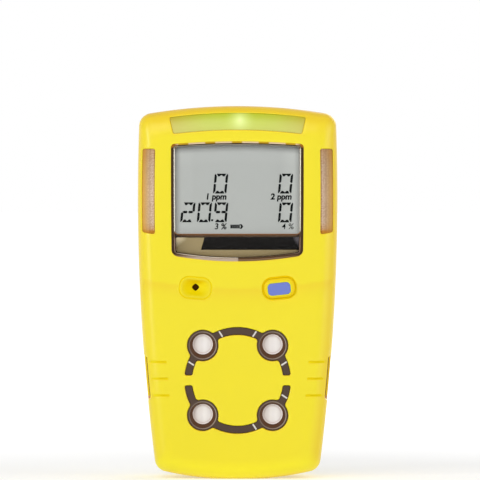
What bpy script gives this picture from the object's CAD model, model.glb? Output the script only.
"""Portable gas detector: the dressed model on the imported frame.

Lengths in the shape functions are millimetres, as (x, depth behind the front face, z).
"""

import math

import bmesh
import bpy
import numpy as np
from mathutils.geometry import delaunay_2d_cdt
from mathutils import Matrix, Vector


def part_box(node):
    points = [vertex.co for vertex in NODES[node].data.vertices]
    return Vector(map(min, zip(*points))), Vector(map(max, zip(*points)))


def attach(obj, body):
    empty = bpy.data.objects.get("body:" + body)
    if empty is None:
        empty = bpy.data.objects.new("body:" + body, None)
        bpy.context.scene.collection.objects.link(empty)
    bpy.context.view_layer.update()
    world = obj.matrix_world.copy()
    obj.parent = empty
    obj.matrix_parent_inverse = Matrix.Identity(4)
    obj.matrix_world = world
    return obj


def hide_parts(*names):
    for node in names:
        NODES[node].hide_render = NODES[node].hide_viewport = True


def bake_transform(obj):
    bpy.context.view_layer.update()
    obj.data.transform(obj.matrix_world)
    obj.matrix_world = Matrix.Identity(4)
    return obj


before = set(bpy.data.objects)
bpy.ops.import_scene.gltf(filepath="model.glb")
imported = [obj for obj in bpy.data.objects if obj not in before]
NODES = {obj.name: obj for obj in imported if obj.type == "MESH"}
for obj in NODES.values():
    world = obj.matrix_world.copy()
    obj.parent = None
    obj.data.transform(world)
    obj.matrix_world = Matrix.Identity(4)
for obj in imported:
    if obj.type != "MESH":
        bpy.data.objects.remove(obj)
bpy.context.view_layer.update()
MM = 0.001
FRONT_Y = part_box("front_shell")[0].y

# Case
CASE_W = 60.37
CASE_H = 112.7
CASE_D = 29.0
PART_D = 16.0
SIDE_R = 618.0
SIDE_Z = 85.0
TOP_R = 161.0
BOTTOM_R = 99.0
FOOT_CUT = 0.3
CORNER = 4.0
EDGE_SIDE = 5.2
EDGE_TOP = 8.0
EDGE_BOTTOM = 6.0
EDGE_D = 5.5
REAR_EDGE = 4.0
REAR_STEPS = 12
SIDE_ENDS = 6.0
SIDE_C = np.array([CASE_W / 2 - SIDE_R, SIDE_Z])
TOP_C = np.array([0.0, CASE_H - TOP_R])
BOTTOM_C = np.array([0.0, BOTTOM_R - FOOT_CUT])
# Rounds of halving that find a point's place on the rounded edge
HALVINGS = 34
# Rows of the round edge of an opening, and the gold at its foot
RIM_STEPS = 5
RIM_GOLD = 0.2
# Walls of the modelled skins
FRONT_WALL = 0.3
REAR_WALL = 0.9
BEZEL_WALL = 0.3
# Spacing of the points on flat sheets, pitch of their rows, and how clear they stay of loops
FACE_STEP = 0.8
BACK_STEP = 1.6
BEZEL_STEP = 0.7
ROW_PITCH = 0.87
CLEAR = 0.55

# Fold across the front face
FOLD_Z = 57.1
FOLD_RISE = 2.4
FOLD_REACH = 2.4
FOLD_D = 0.1
FOLD_HALF = 27.0
# Gold along the fold
FOLD_GOLD = 0.26
FOLD_GOLD_UP = 0.9
FOLD_GOLD_REACH = 1.1

# Window and display
WIN_W = 39.9
WIN_LOW = 65.9
WIN_HIGH = 102.0
WIN_LOW_R = 110.0
WIN_HIGH_R = 240.0
WIN_CORNER = 1.0
WIN_LOW_CORNER = 1.7
WIN_TAPER = 0.01
WIN_X = -0.09
LIP_FLANGE = 0.08
LIP_IN = 0.75
BEAD_W = 0.3
BEAD_D = 0.42
BEAD_RISE = 0.14
BEAD_STEPS = 12
VIEW_LOW = 74.1
BAR_H = 0.9
GLINT_AT = 3.85
GLINT_PITCH = 8.1
GLINT_L = 5.0
VIEW_HALF = 18.9
VIEW_CORNER = 0.9
VIEW_LOW_CORNER = 1.15
LCD_D = 3.45
MASK_D = 3.05
MASK_HALF = 20.9
MASK_TOP = WIN_HIGH + 0.7
MASK_CORNER = 0.3
PLATE_D = 3.0
PLATE_IN = 0.95
PLATE_CORNER = 0.4
PLATE_LOW_CORNER = 0.9
SEAT_LOW_CORNER = 1.0
PLATE_TOP = VIEW_LOW - BAR_H - 0.05
STRIPE_TOP = PLATE_TOP - 0.06
STRIPE_LOW = PLATE_TOP - 3.9
STRIPE_TOP_L = -10.0
STRIPE_LOW_L = -11.1
STRIPE_R = 18.45
# Where the lip's lower run turns from pale to brown
LOW_RUN_TURN = (-0.1, 0.3)
# Light of the display away from its edges, and how far in it settles
LIT = 0.75
LIT_REACH = 6.0

# Lamps
TOP_LENS_IN = 2.1
TOP_LENS_H = 5.1
TOP_LENS_W = 41.2
TOP_LENS_TAPER = 1.2
TOP_LENS_R = 0.55
SIDE_LENS_IN = 1.35
SIDE_LENS_W = 3.75
SIDE_LENS_Z = 74.1
SIDE_LENS_H = 25.7
SIDE_LENS_CUT = 0.6
SIDE_LENS_R = 0.6
LENS_RECESS = 0.35
# Lit spot of the top lens: to the right, below its edge, radius and strength
SPOT_X = 0.7
SPOT_DOWN = 2.1
SPOT_R = 5.5
SPOT_LIGHT = 0.44

# Button and buzzer port
BUTTON_AT = (12.6, 57.78)
BUTTON_TILT = 6.0
BUTTON_W = 9.5
BUTTON_H = 5.95
BUTTON_R = 2.6
WELL_W = 0.5
PAD_AT = (12.53, 57.53)
PAD_W = 6.83
PAD_H = 3.63
PAD_R = 1.2
PORT_AT = (-12.7, 57.8)
PORT_TILT = -5.0
PORT_W = 10.1
PORT_H = 6.9
PORT_R = 3.0
HOLE_R = 1.0
HOLE_UP = 0.2
HOLE_POWER = 1.4
# Widening of the hole's edge, and depths of its wall
HOLE_EDGE = 0.2
HOLE_WALL = (1.5, 2.1)
FUNNEL_G = -0.92
FUNNEL_TOP = 0.04
FUNNEL_D = 1.3

# Sensor ports
PORTS_Z = 29.9
PORTS_R = 14.9
RING_R = 4.66
BAND_IN = 13.8
BAND_OUT = 16.0
BEZEL_GAP = 1.57
BEZEL_FILLET = 1.0
BEZEL_END = 0.5
BEZEL_D = 0.1
MOUTH_R = 3.95
THROAT_R = 3.05
THROAT_UP = 0.32
THROAT_D = 1.3
FILTER_R = 3.6
FILTER_T = 0.6
MARK_LEAN = 0.55
MARKS = (70.0, 110.0, 20.0, 160.0, -19.0, -70.0)

# Grip grooves and latch pockets
GROOVE_Z = 30.4
GROOVE_PITCH = 5.05
GROOVE_W = 0.8
GROOVE_L = 4.9
GROOVE_R = 0.3
GROOVE_IN = 1.95
GROOVES = [(side, GROOVE_Z + i * GROOVE_PITCH) for side in (-1, 1) for i in (-1, 0, 1)]
LATCH_Z = 30.6
LATCH_H = 13.4
LATCH_IN = 0.92
LATCH_D = 13.0
LATCH_OVER = 0.3
LATCH_SOFT = 0.9
SEAM_W = 0.32
SEAM_UP = 0.1
SEAM_SOFT = 0.6
SEAM_POINTS = 60
HEAD_UP = 0.5
HEAD_IN = 0.42
# Points farther out than this lie on the case's sides
SIDE_FROM = 20.0

# Back
SCREW_IN = 6.2
SCREW_Z = (104.8, 62.0, 8.0)
SCREW_HOLE_R = 1.9
SCREW_R = 1.0
HEAD_D = 18.5
LABEL_W = 34.4
LABEL_H = 30.4
LABEL_MID = 35.0
LABEL_LINE_IN = 1.6
LABEL_LINE_HALF = 0.12
CHARGE_Z = 12.0
CHARGE_W = 12.1
CHARGE_H = 5.7
IR_X = 10.2
IR_W = 4.1

# Clip spring
PIN_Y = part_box("clip_pin")[0].y / 2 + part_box("clip_pin")[1].y / 2
PIN_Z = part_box("clip_pin")[0].z / 2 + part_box("clip_pin")[1].z / 2
COIL_R = 2.3
COIL_WIRE = 0.4
COIL_PITCH = 1.5
COIL_TURNS = 4.5
COIL_LEG = 7.0
COIL_STEPS = 40
LEG_STEPS = 14
WIRE_STEPS = 12
SHEET_T = 1.0


# Helpers for surfaces

SHARP_BEND = 34.0
MERGE_GAP = 2e-6


def quads(rows, cols, closed):
    """Four-sided faces of a grid of points closed round its columns, and round its rows if asked."""
    r = np.arange(rows if closed else rows - 1)[:, None]
    c = np.arange(cols)[None, :]
    r2 = (r + 1) % rows
    c2 = (c + 1) % cols
    q = np.stack([r * cols + c, r * cols + c2, r2 * cols + c2, r2 * cols + c], axis=-1)
    return q.reshape(-1, 4)


def lay(xz, depth):
    """Points in millimetres: a flat loop in x and z, at one depth or a depth for each point."""
    depth = np.broadcast_to(np.asarray(depth, float), xz.shape[:1])
    return np.stack([xz[:, 0], depth, xz[:, 1]], axis=-1)


def rows_of(loop, profile, depth=0.0, place=lay):
    """Rows of a profile carried round an outline: the outline at each growth, laid at each depth."""
    return [place(loop(g), depth + d) for g, d, *share in profile]


def shares_of(profile):
    """Share for the finish of each row of a profile."""
    return [row[-1] for row in profile]


def carry(rows, closed=False):
    """Surface through a list of loops with equal counts: a profile carried round a path."""
    return np.concatenate(rows), [quads(len(rows), len(rows[0]), closed)]


def cap(row):
    """One flat face across a loop."""
    return row, [np.arange(len(row))[None, :]]


def closed_form(rows):
    """Wall through a list of loops, with a flat face across the first and the last."""
    return [carry(rows), cap(rows[0]), cap(rows[-1])]


def make_piece(name, parts, material, body="case", nodes=(), wall=0.0, across=()):
    """Joins surfaces into one piece. Doubled points merge, faces are turned outwards, strong bends
    stay sharp, wall gives an open skin its thickness, and across keeps a number for each point:
    each surface gives one number, one for each of its rows, or one for each of its points."""
    counts = [len(p) for p, groups in parts]
    starts = np.cumsum([0] + counts)
    points = np.concatenate([p for p, groups in parts])
    faces = []
    for start, (p, groups) in zip(starts, parts):
        for group in groups:
            faces.extend((np.asarray(group) + start).tolist())
    mesh = bpy.data.meshes.new(name)
    mesh.from_pydata((points * MM + [0, FRONT_Y, 0]).tolist(), [], faces)
    if across:
        shares = np.concatenate([np.repeat(v, n // np.size(v)) for v, n in zip(across, counts)])
        mesh.attributes.new("across", "FLOAT", "POINT").data.foreach_set("value", shares)
    work = bmesh.new()
    work.from_mesh(mesh)
    bmesh.ops.remove_doubles(work, verts=work.verts, dist=MERGE_GAP)
    bmesh.ops.recalc_face_normals(work, faces=work.faces)
    work.to_mesh(mesh)
    work.free()
    mesh.polygons.foreach_set("use_smooth", np.ones(len(mesh.polygons), bool))
    mesh.set_sharp_from_angle(angle=math.radians(SHARP_BEND))
    mesh.materials.append(material)
    piece = bpy.data.objects.new(name, mesh)
    bpy.context.scene.collection.objects.link(piece)
    if wall:
        thick = piece.modifiers.new("wall", "SOLIDIFY")
        thick.thickness = wall * MM
        thick.offset = -1.0
    if body:
        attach(piece, body)
    if nodes:
        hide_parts(*nodes)
    return piece


# Outline of the case

def half_w(z):
    """Half the width of the case at a height, on the circle of the side."""
    return np.sqrt(SIDE_R ** 2 - (z - SIDE_Z) ** 2) - SIDE_R + CASE_W / 2


def crossing(c1, r1, c2, r2, side):
    """Where two circles meet: along the line of centres by the cosine rule, then square to it."""
    gap = np.linalg.norm(c2 - c1)
    u = (c2 - c1) / gap
    a = (r1 ** 2 - r2 ** 2 + gap ** 2) / (2 * gap)
    h = side * np.sqrt(r1 ** 2 - a ** 2)
    return c1 + a[..., None] * u + h[..., None] * np.array([-u[1], u[0]])


def way(v):
    """Direction of a vector as an angle."""
    return math.atan2(v[1], v[0])


def sweep(centre, r, a0, a1, t):
    """Points on a circle from one angle towards another, at shares t."""
    a = a0 + (a1 - a0) * t
    return np.asarray(centre) + r * np.stack([np.cos(a), np.sin(a)], axis=-1)


def steps(n):
    """Even shares from 0, without 1."""
    return np.arange(n) / n


def unit_circle(n):
    """Circle of radius 1 about the origin, with n points."""
    return sweep((0, 0), 1.0, 0.0, 2 * math.pi, steps(n))


def circles_about(at, n):
    """Loop that grows by its radius: circles about a point, with n points."""
    unit = unit_circle(n)
    return lambda r: at + unit * r


def polar(r, a):
    """Point at a distance and an angle."""
    return r * np.array([math.cos(a), math.sin(a)])


# Shares of the side arc: even ones, and fine ones about each end of the latch pocket
SIDE_POINTS = 96
FINE_POINTS = 16
FINE_HALF = 0.016


def side_shares():
    """Shares along the side arc, close together at the ends of the latch pocket."""
    run = CASE_H - 2 * SIDE_ENDS
    ends = [(LATCH_Z + s * LATCH_H / 2 - SIDE_ENDS) / run for s in (-1, 1)]
    fine = np.concatenate([np.linspace(e - FINE_HALF, e + FINE_HALF, FINE_POINTS) for e in ends])
    return np.unique(np.round(np.concatenate([steps(SIDE_POINTS), fine]), 5))


SIDE_SHARES = side_shares()


def case_loop(side, top, bottom):
    """Outline of the case drawn in from its sides, top and bottom: arcs of the bottom, side and
    top with round corners that touch them, mirrored, cut flat at the foot."""
    rs = np.float64(SIDE_R - side)
    rt = np.float64(TOP_R - top)
    rb = np.float64(BOTTOM_R - bottom)
    up = crossing(SIDE_C, rs - CORNER, TOP_C, rt - CORNER, 1)
    low = crossing(SIDE_C, rs - CORNER, BOTTOM_C, rb - CORNER, -1)
    right = np.concatenate([
        sweep(BOTTOM_C, rb, -math.pi / 2, way(low - BOTTOM_C), steps(24)),
        sweep(low, CORNER, way(low - BOTTOM_C), way(low - SIDE_C), steps(14)),
        sweep(SIDE_C, rs, way(low - SIDE_C), way(up - SIDE_C), SIDE_SHARES),
        sweep(up, CORNER, way(up - SIDE_C), way(up - TOP_C), steps(14)),
        sweep(TOP_C, rt, way(up - TOP_C), math.pi / 2, steps(26)),
        (TOP_C + [0, rt])[None, :]])
    left = right[1:-1][::-1] * [-1, 1]
    loop = np.concatenate([right, left])
    loop[:, 1] = np.maximum(loop[:, 1], 0.0)
    return loop


def even_loop(g):
    """Outline of the case drawn in by the same length all round."""
    return case_loop(g, g, g)


def front_loop(k):
    """Outline drawn in by a share of the rounded front edge."""
    return case_loop(EDGE_SIDE * k, EDGE_TOP * k, EDGE_BOTTOM * k)


def loop_distance(p, k):
    """How far inside the outline drawn in by share k a point lies: the least distance to its arcs,
    and to the corner circle in the corner's own sector."""
    rs = SIDE_R - EDGE_SIDE * k
    rt = TOP_R - EDGE_TOP * k
    rb = BOTTOM_R - EDGE_BOTTOM * k
    d = np.minimum(rs - np.linalg.norm(p - SIDE_C, axis=-1),
                   np.minimum(rt - np.linalg.norm(p - TOP_C, axis=-1),
                              rb - np.linalg.norm(p - BOTTOM_C, axis=-1)))
    for far_c, far_r, side in ((TOP_C, rt, 1), (BOTTOM_C, rb, -1)):
        c = crossing(SIDE_C, rs - CORNER, far_c, far_r - CORNER, side)
        v = p - c
        us = c - SIDE_C
        uf = c - far_c
        past_side = side * (us[:, 0] * v[:, 1] - us[:, 1] * v[:, 0]) >= 0
        past_far = side * (v[:, 0] * uf[:, 1] - v[:, 1] * uf[:, 0]) >= 0
        d = np.where(past_side & past_far, CORNER - np.linalg.norm(v, axis=-1), d)
    return d


def edge_share(x, z):
    """Share of the rounded edge at a point, 0 on the outline and 1 on the flat face, found by
    halving the range of shares."""
    p = np.stack([np.abs(x), z], axis=-1)
    low = np.zeros(len(p))
    high = np.ones(len(p))
    for step in range(HALVINGS):
        mid = (low + high) / 2
        within = loop_distance(p, mid) > 0
        low = np.where(within, mid, low)
        high = np.where(within, high, mid)
    return high


def fold_line(x):
    """Height of the fold: a line bowed by the square of x."""
    return FOLD_Z + FOLD_RISE * (x / FOLD_HALF) ** 2


def fold(x, z):
    """Shallow fold across the face: a squared rise below a bowed line that dies away."""
    t = np.maximum(fold_line(x) - z, 0) / FOLD_REACH
    return FOLD_D * t ** 2 * np.exp(2 - 2 * t)


def face_depth(x, z):
    """Depth of the front face: an ellipse over the rounded edge, and the fold."""
    k = edge_share(x, z)
    return EDGE_D * (1 - np.sqrt(np.maximum(1 - (1 - k) ** 2, 0))) + fold(x, z)


def on_face(xz, down):
    """Points on the curve of the front face, or a length under it."""
    return lay(xz, face_depth(xz[:, 0], xz[:, 1]) + down)


# Loops of the openings

def round_loop(w, h, r, nx, nz, nc=8, low_r=None):
    """Rectangle with round corners about the origin, with fixed counts on sides and corners. The
    lower corners may have a radius of their own."""
    limit = min(w, h) / 2 - 1e-3
    top_r = min(r, limit)
    low_r = top_r if low_r is None else min(low_r, limit)
    t = np.linspace(0, 1, nc + 1)
    parts = []
    for i, (sx, sz) in enumerate(((1, -1), (1, 1), (-1, 1), (-1, -1))):
        r = top_r if sz > 0 else low_r
        c = np.array([sx * (w / 2 - r), sz * (h / 2 - r)])
        a = math.pi / 2 * (i - 1)
        parts.append(sweep(c, r, a, a + math.pi / 2, t))
    loop = []
    for i in range(4):
        loop.append(parts[i])
        n = nz if i % 2 == 0 else nx
        s = (np.arange(1, n) / n)[:, None]
        loop.append(parts[i][-1] * (1 - s) + parts[(i + 1) % 4][0] * s)
    return np.concatenate(loop)


def window_loop(g):
    """Window opening grown by g: a rounded rectangle whose ends follow two arcs."""
    h = WIN_HIGH - WIN_LOW
    a = round_loop(WIN_W + 2 * g, h + 2 * g, max(WIN_CORNER + g, 0.25), 40, 36,
                   low_r=max(WIN_LOW_CORNER + g, 0.25))
    v = (a[:, 1] + h / 2) / h
    x = a[:, 0] * (1 - WIN_TAPER * np.clip(1 - v, 0, 1.2) ** 3)
    low = WIN_LOW + WIN_LOW_R - np.sqrt(WIN_LOW_R ** 2 - x ** 2)
    high = WIN_HIGH - WIN_HIGH_R + np.sqrt(WIN_HIGH_R ** 2 - x ** 2)
    return np.stack([WIN_X + x, low + v * (high - low)], axis=-1)


def display_loop(g):
    """Display opening grown by g: straight below, the window's upper arc above, round corners."""
    top = WIN_HIGH - LIP_IN - BEAD_W
    h = top - VIEW_LOW
    a = round_loop(2 * VIEW_HALF + 2 * g, h + 2 * g, VIEW_CORNER + g, 40, 28,
                   low_r=VIEW_LOW_CORNER + g)
    v = (a[:, 1] + h / 2) / h
    high = top - WIN_HIGH_R + np.sqrt(WIN_HIGH_R ** 2 - a[:, 0] ** 2)
    return np.stack([WIN_X + a[:, 0], VIEW_LOW + v * (high - VIEW_LOW)], axis=-1)


def top_lens_loop(g):
    """Top lens grown by g: a rounded rectangle bent along the top arc, narrower below."""
    a = round_loop(TOP_LENS_W + 2 * g, TOP_LENS_H + 2 * g, max(TOP_LENS_R + g, 0.02), 44, 8)
    v = a[:, 1] / TOP_LENS_H + 0.5
    x = a[:, 0] * (1 - (1 - v) * TOP_LENS_TAPER / (TOP_LENS_W / 2))
    r = TOP_R - TOP_LENS_IN - TOP_LENS_H * (1 - v)
    return np.stack([x, TOP_C[1] + np.sqrt(r ** 2 - x ** 2)], axis=-1)


def side_lens_loop(g, side):
    """Side lens grown by g: a rounded rectangle that follows the side arc, with its lower end drawn
    up towards the outside."""
    a = round_loop(SIDE_LENS_W + 2 * g, SIDE_LENS_H + 2 * g, max(SIDE_LENS_R + g, 0.02), 6, 30)
    outer = np.clip(a[:, 0] / SIDE_LENS_W + 0.5, 0, 1)
    low = np.clip(0.5 - a[:, 1] / SIDE_LENS_H, 0, 1)
    z = SIDE_LENS_Z + SIDE_LENS_H / 2 + a[:, 1] + SIDE_LENS_CUT * outer ** 1.5 * low ** 6
    x = half_w(z) - SIDE_LENS_IN - SIDE_LENS_W / 2 + a[:, 0]
    return np.stack([side * x, z], axis=-1)


def tilted_loop(at, tilt, w, h, r, g):
    """Rounded rectangle grown by g, turned and put at its place."""
    a = round_loop(w + 2 * g, h + 2 * g, max(r + g, 0.02), 10, 6, 10)
    c = math.cos(math.radians(tilt))
    s = math.sin(math.radians(tilt))
    return np.stack([at[0] + a[:, 0] * c - a[:, 1] * s, at[1] + a[:, 0] * s + a[:, 1] * c], axis=-1)


def button_loop(g):
    """Outline of the button cap grown by g."""
    return tilted_loop(BUTTON_AT, BUTTON_TILT, BUTTON_W, BUTTON_H, BUTTON_R, g)


def pad_loop(g):
    """Outline of the coloured pad grown by g."""
    return tilted_loop(PAD_AT, BUTTON_TILT, PAD_W, PAD_H, PAD_R, g)


def port_loop(g):
    """Outline of the buzzer port grown by g."""
    return tilted_loop(PORT_AT, PORT_TILT, PORT_W, PORT_H, PORT_R, g)


def circle_like(loop, at, r):
    """Circle whose points lie in the same directions as those of a loop."""
    v = loop - np.asarray(at)
    return np.asarray(at) + r * v / np.linalg.norm(v, axis=-1)[:, None]


def diamond_like(loop, at, r):
    """Rounded diamond whose points lie in the same directions as those of a loop: r over the norm
    of the direction's parts to a power between a diamond's and a circle's."""
    v = loop - np.asarray(at)
    u = v / np.linalg.norm(v, axis=-1)[:, None]
    return np.asarray(at) + u * (r / (np.abs(u) ** HOLE_POWER).sum(axis=-1) ** (1 / HOLE_POWER))[:, None]


def groove_loop(g, side, z0):
    """Outline of a grip groove grown by g, set in from the side."""
    a = round_loop(GROOVE_L + 2 * g, GROOVE_W + 2 * g, max(GROOVE_R + g, 0.01), 10, 3, 5)
    x = half_w(z0) - GROOVE_IN - GROOVE_L / 2 + a[:, 0]
    return np.stack([side * x, z0 + a[:, 1]], axis=-1)


def bezel_loop(g, side):
    """Band and two rings above (1) or below (-1) the middle, grown by g: arcs of the band and the
    rings joined by fillets that touch both, and round ends at the gap."""
    ring = RING_R + g
    out = BAND_OUT + g
    inn = BAND_IN - g
    f = BEZEL_FILLET - g
    end = BEZEL_END + g
    gap = BEZEL_GAP - g
    q = math.pi / 4
    p = polar(PORTS_R, q)
    far = out + f
    near = inn - f
    to_far = math.acos((far ** 2 + PORTS_R ** 2 - (ring + f) ** 2) / (2 * far * PORTS_R))
    to_near = math.acos((near ** 2 + PORTS_R ** 2 - (ring + f) ** 2) / (2 * near * PORTS_R))
    turn = 2 * math.pi
    zero = np.zeros(2)
    c1 = polar(far, q + to_far)
    c2 = polar(far, q - to_far)
    c3 = polar(near, q - to_near)
    c4 = polar(near, q + to_near)
    e1 = math.asin((gap + end) / (out - end))
    e2 = math.asin((gap + end) / (inn + end))
    right = np.concatenate([
        sweep(zero, out, math.pi / 2, q + to_far, steps(10)),
        sweep(c1, f, q + to_far + math.pi, way(p - c1) + turn, steps(8)),
        sweep(p, ring, way(c1 - p), way(c2 - p), steps(26)),
        sweep(c2, f, way(p - c2), q - to_far + math.pi, steps(8)),
        sweep(zero, out, q - to_far, e1, steps(10)),
        sweep(polar(out - end, e1), end, e1, -math.pi / 2, steps(8)),
        sweep(polar(inn + end, e2), end, -math.pi / 2, e2 - math.pi, steps(8)),
        sweep(zero, inn, e2, q - to_near, steps(8)),
        sweep(c3, f, q - to_near, way(p - c3), steps(8)),
        sweep(p, ring, way(c3 - p) + turn, way(c4 - p), steps(20)),
        sweep(c4, f, way(p - c4), q + to_near, steps(8)),
        sweep(zero, inn, q + to_near, math.pi / 2, steps(8)),
        polar(inn, math.pi / 2)[None, :]])
    left = right[1:-1][::-1] * [-1, 1]
    return np.concatenate([right, left]) * [1, side] + [0, PORTS_Z]


def ports(side=0):
    """Middles of the four ports, or of the two on one side."""
    a = np.radians([45, 135] if side > 0 else [225, 315] if side < 0 else [45, 135, 225, 315])
    return np.stack([PORTS_R * np.cos(a), PORTS_Z + PORTS_R * np.sin(a)], axis=-1)


def inside(p, loop):
    """Which points lie inside a loop: an odd count of crossings to their right."""
    a = loop
    b = np.roll(loop, -1, axis=0)
    x, z = p[:, 0:1], p[:, 1:2]
    spans = (a[:, 1] > z) != (b[:, 1] > z)
    rise = np.where(b[:, 1] == a[:, 1], 1e-12, b[:, 1] - a[:, 1])
    at = a[:, 0] + (z - a[:, 1]) * (b[:, 0] - a[:, 0]) / rise
    return (spans & (x < at)).sum(axis=1) % 2 == 1


def sheet_between(outer, holes, step):
    """Triangles between an outer loop and the loops of its openings: points of a staggered grid,
    clear of every loop, joined with the loops by a constrained Delaunay triangulation."""
    loops = [outer] + holes
    low = outer.min(axis=0)
    high = outer.max(axis=0)
    zs = np.arange(low[1], high[1], step * ROW_PITCH)
    xs = np.arange(low[0], high[0], step)
    x, z = np.meshgrid(xs, zs)
    x = x + (np.arange(len(zs)) % 2)[:, None] * step / 2
    grid = np.stack([x.ravel(), z.ravel()], axis=-1)
    keep = inside(grid, outer)
    for hole in holes:
        keep &= ~inside(grid, hole)
    grid = grid[keep]
    for loop in loops:
        near = np.linalg.norm(grid[:, None, :] - loop[None, :, :], axis=-1).min(axis=1)
        grid = grid[near > step * CLEAR]
    points = np.concatenate(loops + [grid])
    edges = []
    start = 0
    for loop in loops:
        i = np.arange(len(loop))
        edges.extend(np.stack([start + i, start + (i + 1) % len(loop)], axis=-1).tolist())
        start += len(loop)
    made = delaunay_2d_cdt(points.tolist(), edges, [], 0, 1e-5)
    xz = np.array([tuple(v) for v in made[0]])
    faces = np.array([f for f in made[2] if len(f) == 3])
    mid = xz[faces].mean(axis=1)
    keep = inside(mid, outer)
    for hole in holes:
        keep &= ~inside(mid, hole)
    return xz, faces[keep]


def rim(loop, r, down, under):
    """Rows of an opening's rim: a quarter round of radius r from the face into the wall, and the
    foot of the wall at a depth, which may be taken from the face there."""
    rows = []
    for a in np.linspace(0, math.pi / 2, RIM_STEPS):
        rows.append(on_face(loop(r * (1 - math.sin(a))), r * (1 - math.cos(a))))
    foot = loop(0.0)
    rows.append(on_face(foot, down) if under else lay(foot, down))
    return rows


# Shader helpers

def srgb(r, g, b):
    """Screen colour 0 to 255 as the linear colour that shows it."""
    c = np.array([r, g, b]) / 255
    lin = np.where(c <= 0.04045, c / 12.92, ((c + 0.055) / 1.055) ** 2.4)
    return tuple(float(v) for v in lin) + (1.0,)


def grey(v):
    """Linear grey of one value."""
    return (v, v, v, 1.0)


def add(tree, kind, **values):
    """New shader node with its settings, and its inputs by name."""
    n = tree.nodes.new(kind)
    for key, value in values.items():
        name = key.replace("_", " ")
        if name in n.inputs:
            n.inputs[name].default_value = value
        else:
            setattr(n, key, value)
    return n


def feed(tree, value, socket):
    """Puts a number or colour on a socket, or links another socket to it."""
    if isinstance(value, (int, float, tuple)):
        socket.default_value = value
    else:
        tree.links.new(value, socket)


def calc(tree, operation, *values):
    """Math node on sockets or numbers."""
    n = add(tree, "ShaderNodeMath", operation=operation)
    for i, value in enumerate(values):
        feed(tree, value, n.inputs[i])
    return n.outputs[0]


def distance(tree, a, b):
    """Root of the sum of two squares."""
    squares = calc(tree, "ADD", calc(tree, "POWER", a, 2.0), calc(tree, "POWER", b, 2.0))
    return calc(tree, "SQRT", squares)


def mixed(tree, kind, factor, a, b):
    """Colour mix of sockets or colours."""
    n = add(tree, "ShaderNodeMix", data_type="RGBA", blend_type=kind)
    for i, value in ((0, factor), (6, a), (7, b)):
        feed(tree, value, n.inputs[i])
    return n.outputs[2]


def span(tree, value, low, high):
    """Value as a share of a range, held between 0 and 1."""
    n = add(tree, "ShaderNodeMapRange", From_Min=low, From_Max=high)
    tree.links.new(value, n.inputs["Value"])
    return n.outputs["Result"]


def span_mm(tree, value, low, high):
    """Length as a share of a range in millimetres, held between 0 and 1."""
    return span(tree, value, low * MM, high * MM)


def split(tree, vector):
    """X, Y and Z of a vector."""
    n = tree.nodes.new("ShaderNodeSeparateXYZ")
    tree.links.new(vector, n.inputs[0])
    return n.outputs


def ramp(tree, value, stops):
    """Colour ramp on a value, from shares and colours."""
    n = tree.nodes.new("ShaderNodeValToRGB")
    band = n.color_ramp
    for element, (share, colour) in zip(band.elements, (stops[0], stops[-1])):
        element.position = share
        element.color = colour
    for share, colour in stops[1:-1]:
        band.elements.new(share).color = colour
    tree.links.new(value, n.inputs["Fac"])
    return n.outputs["Color"]


def tones(tree, value, *stops):
    """Ramp on a value, from shares and screen colours."""
    return ramp(tree, value, [(share, srgb(*screen)) for share, *screen in stops])


def greys(tree, value, *stops):
    """Ramp on a value, from shares and greys."""
    return ramp(tree, value, [(share, grey(v)) for share, v in stops])


def relief(tree, shader, height, strength, deep):
    """Bump from a height, on the shader's normal."""
    n = add(tree, "ShaderNodeBump", Strength=strength, Distance=deep)
    tree.links.new(height, n.inputs["Height"])
    tree.links.new(n.outputs["Normal"], shader.inputs["Normal"])


# Effects that several finishes share, as node groups

FINE_SHARE = 0.35
BROAD = 140.0
GRAIN_DEEP = 0.00004
ROUGH_PLAY = 0.06
# Dots of the side lenses and bands of the filters
DOT_SCALE = 2000.0
DOT_DEEP = 0.00005
FILTER_BANDS = 160.0


def new_group(name, takes, gives):
    """Empty node group with a place, named numbers and named results: the group and its ends."""
    group = bpy.data.node_groups.new(name, "ShaderNodeTree")
    group.interface.new_socket("Place", in_out="INPUT", socket_type="NodeSocketVector")
    for socket in takes:
        group.interface.new_socket(socket, in_out="INPUT", socket_type="NodeSocketFloat")
    for socket in gives:
        group.interface.new_socket(socket, in_out="OUTPUT", socket_type="NodeSocketFloat")
    return group, group.nodes.new("NodeGroupInput").outputs, group.nodes.new("NodeGroupOutput").inputs


def grain_group():
    """Grain of a moulded surface: fine noise gives a height, fine and broad noise give a tone."""
    group, came, goes = new_group("moulded grain", ("Size", "Broad"), ("Height", "Tone"))
    fine = add(group, "ShaderNodeTexNoise", Detail=3.0, Roughness=0.6)
    wide = add(group, "ShaderNodeTexNoise", Detail=2.0, Roughness=0.5)
    for noise, scale in ((fine, "Size"), (wide, "Broad")):
        group.links.new(came["Place"], noise.inputs["Vector"])
        group.links.new(came[scale], noise.inputs["Scale"])
    rest = calc(group, "MULTIPLY", wide.outputs["Fac"], 1 - FINE_SHARE)
    group.links.new(fine.outputs["Fac"], goes["Height"])
    group.links.new(calc(group, "MULTIPLY_ADD", fine.outputs["Fac"], FINE_SHARE, rest), goes["Tone"])
    return group


def bow_group():
    """Height over a bowed line: z plus x squared times half of one over the line's radius."""
    group, came, goes = new_group("bowed height", ("Bow",), ("Height",))
    x, _, z = split(group, came["Place"])
    arc = calc(group, "MULTIPLY", calc(group, "POWER", x, 2.0), came["Bow"])
    group.links.new(calc(group, "ADD", z, arc), goes["Height"])
    return group


def port_group():
    """Place across a port: x less the middle of the port on the same side."""
    group, came, goes = new_group("across a port", ("Middle",), ("Right",))
    x, _, _ = split(group, came["Place"])
    middle = calc(group, "MULTIPLY", calc(group, "SIGN", x), came["Middle"])
    group.links.new(calc(group, "SUBTRACT", x, middle), goes["Right"])
    return group


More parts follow.
